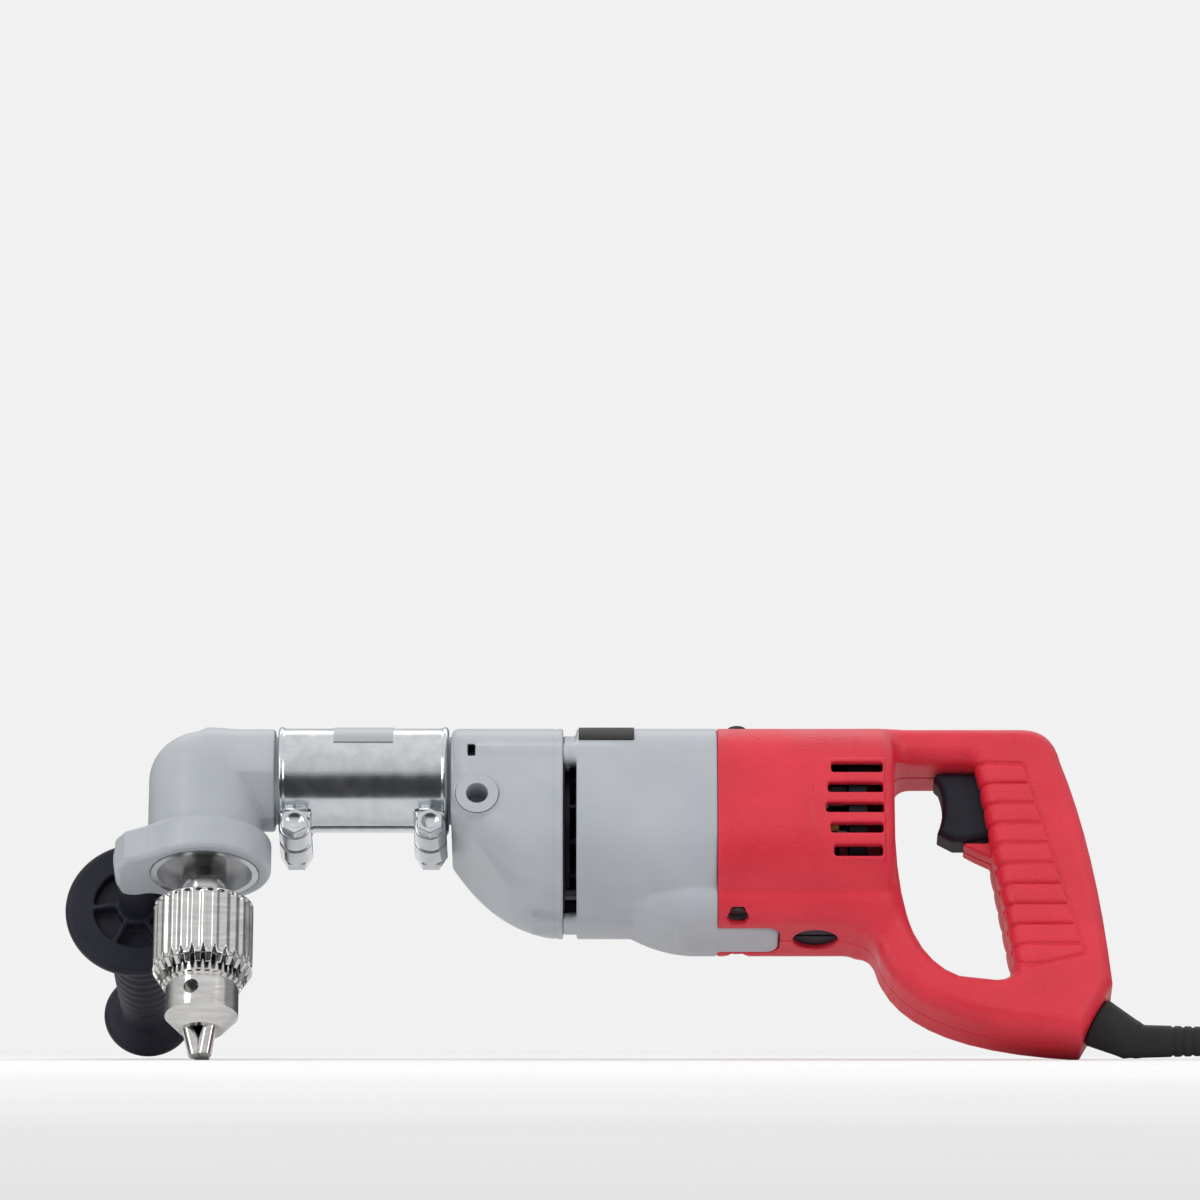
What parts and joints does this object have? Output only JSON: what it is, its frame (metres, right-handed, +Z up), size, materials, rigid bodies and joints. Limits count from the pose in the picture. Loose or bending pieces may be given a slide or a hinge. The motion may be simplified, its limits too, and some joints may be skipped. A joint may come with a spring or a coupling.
{
  "type": "right angle drill",
  "caption": "Corded right angle drill with D-handle, trigger, swivelling angle head, keyed chuck and side handle, leaning on its chuck and side handle.",
  "frame": {"origin": "centre of the footprint of the tool without its cord, on the surface it rests on", "axes": "+X along the motor axis from the angle head to the D-handle, +Y away from the near side, +Z up"},
  "size_m": [0.7332, 0.2225, 0.1538],
  "materials": {
    "red_shell": "fine textured moulded nylon",
    "grey_casting": "light grey paint on a casting",
    "plain_aluminium": "bare die casting",
    "zinc_plate": "bright zinc plate",
    "polished_steel": "turned and polished",
    "plate_film": "blank satin plate",
    "copper": "enamelled copper",
    "brass": "pressed brass",
    "black_rubber": "matt rubber",
    "black_plastic": "satin moulded plastic",
    "machined_steel": "ground steel"
  },
  "bodies": {
    "housing": {"coupling_sleeve": "zinc_plate", "clamp_bolts": "zinc_plate", "clamp_nuts": "zinc_plate", "sleeve_label": "plate_film", "drive_bearings": "machined_steel", "gear_case": "grey_casting", "gear_case_screws": "zinc_plate", "handle_socket": "grey_casting", "idler_bearings": "machined_steel", "bearing_plate": "plain_aluminium", "motor_front_bearing": "machined_steel", "motor_housing": "grey_casting", "nameplate": "plate_film", "field_core": "machined_steel", "field_coils": "copper", "motor_rear_bearing": "machined_steel", "brush_bracket": "black_plastic", "brush_holders": "brass", "carbon_brushes": "black_plastic", "brush_springs": "brass", "brush_caps": "black_plastic", "handle_half_near": "red_shell", "handle_half_far": "red_shell", "handle_screws": "machined_steel", "switch_body": "black_plastic", "switch_leads": "black_plastic", "strain_relief": "black_rubber", "cord": "black_rubber", "cord_coil": "black_rubber", "cord_end": "black_rubber", "cord_tie": "black_plastic", "plug": "black_rubber"},
    "head": {"angle_head_case": "grey_casting", "bearing_retainer": "zinc_plate", "spindle_bearing_upper": "machined_steel", "spindle_bearing_lower": "machined_steel", "pinion_bearing_front": "machined_steel", "pinion_bearing_rear": "machined_steel", "side_handle_grip": "black_plastic", "side_handle_stud": "zinc_plate"},
    "pinion": {"bevel_pinion": "machined_steel"},
    "spindle": {"chuck_spindle": "polished_steel", "driven_bevel_gear": "machined_steel", "chuck_body": "polished_steel"},
    "chuck_ring": {"chuck_sleeve": "polished_steel", "chuck_nut": "polished_steel"},
    "jaw_1": {"chuck_jaw_1": "polished_steel"},
    "jaw_2": {"chuck_jaw_2": "polished_steel"},
    "jaw_3": {"chuck_jaw_3": "polished_steel"},
    "drive": {"drive_coupling": "machined_steel", "drive_spindle": "machined_steel", "spindle_gear": "machined_steel"},
    "idler": {"idler_gear": "machined_steel", "idler_pinion": "machined_steel"},
    "rotor": {"armature_shaft": "machined_steel", "armature_core": "machined_steel", "armature_windings": "copper", "commutator": "copper", "fan": "black_plastic"},
    "trigger": {"trigger": "black_plastic"}
  },
  "joints": [
    {"name": "head_swivel", "type": "hinge", "parent": "housing", "child": "head", "pos_m": [-0.19123, -0.04099, 0.12638], "axis": [1, 0, 0], "continuous": true},
    {"name": "rotor_spin", "type": "hinge", "parent": "housing", "child": "rotor", "pos_m": [0.00877, -0.05249, 0.10085], "axis": [1, 0, 0], "continuous": true},
    {"name": "idler_spin", "type": "hinge", "parent": "housing", "child": "idler", "pos_m": [-0.05123, -0.032, 0.10543], "axis": [1, 0, 0], "continuous": true},
    {"name": "drive_spin", "type": "hinge", "parent": "housing", "child": "drive", "pos_m": [-0.09123, -0.04099, 0.12638], "axis": [1, 0, 0], "continuous": true},
    {"name": "pinion_spin", "type": "hinge", "parent": "head", "child": "pinion", "pos_m": [-0.15123, -0.04099, 0.12638], "axis": [1, 0, 0], "continuous": true},
    {"name": "chuck_spin", "type": "hinge", "parent": "head", "child": "spindle", "pos_m": [-0.19123, -0.06564, 0.07168], "axis": [0, 0.4109, 0.9117], "continuous": true},
    {"name": "chuck_ring_turn", "type": "hinge", "parent": "spindle", "child": "chuck_ring", "pos_m": [-0.19123, -0.07386, 0.05345], "axis": [0, 0.4109, 0.9117], "range_deg": [0, 720]},
    {"name": "jaw_1_slide", "type": "slide", "parent": "spindle", "child": "jaw_1", "axis": [0.1711, 0.2427, 0.9549], "range_m": [0, 0.02]},
    {"name": "jaw_2_slide", "type": "slide", "parent": "spindle", "child": "jaw_2", "axis": [0.0626, 0.6117, 0.7886], "range_m": [0, 0.02]},
    {"name": "jaw_3_slide", "type": "slide", "parent": "spindle", "child": "jaw_3", "axis": [-0.2337, 0.3416, 0.9103], "range_m": [0, 0.02]},
    {"name": "trigger_pull", "type": "slide", "parent": "housing", "child": "trigger", "axis": [1, 0, 0], "range_m": [0, 0.007], "stiffness_N_per_m": 900, "springref_m": -0.006}
  ],
  "couplings": [
    {"joint": "idler_spin", "follows": "rotor_spin", "ratio": -0.2},
    {"joint": "drive_spin", "follows": "rotor_spin", "ratio": 0.071429},
    {"joint": "pinion_spin", "follows": "rotor_spin", "ratio": 0.071429},
    {"joint": "chuck_spin", "follows": "rotor_spin", "ratio": 0.047619},
    {"joint": "jaw_1_slide", "follows": "chuck_ring_turn", "m_per_rad": 0.0015915},
    {"joint": "jaw_2_slide", "follows": "chuck_ring_turn", "m_per_rad": 0.0015915},
    {"joint": "jaw_3_slide", "follows": "chuck_ring_turn", "m_per_rad": 0.0015915}
  ]
}
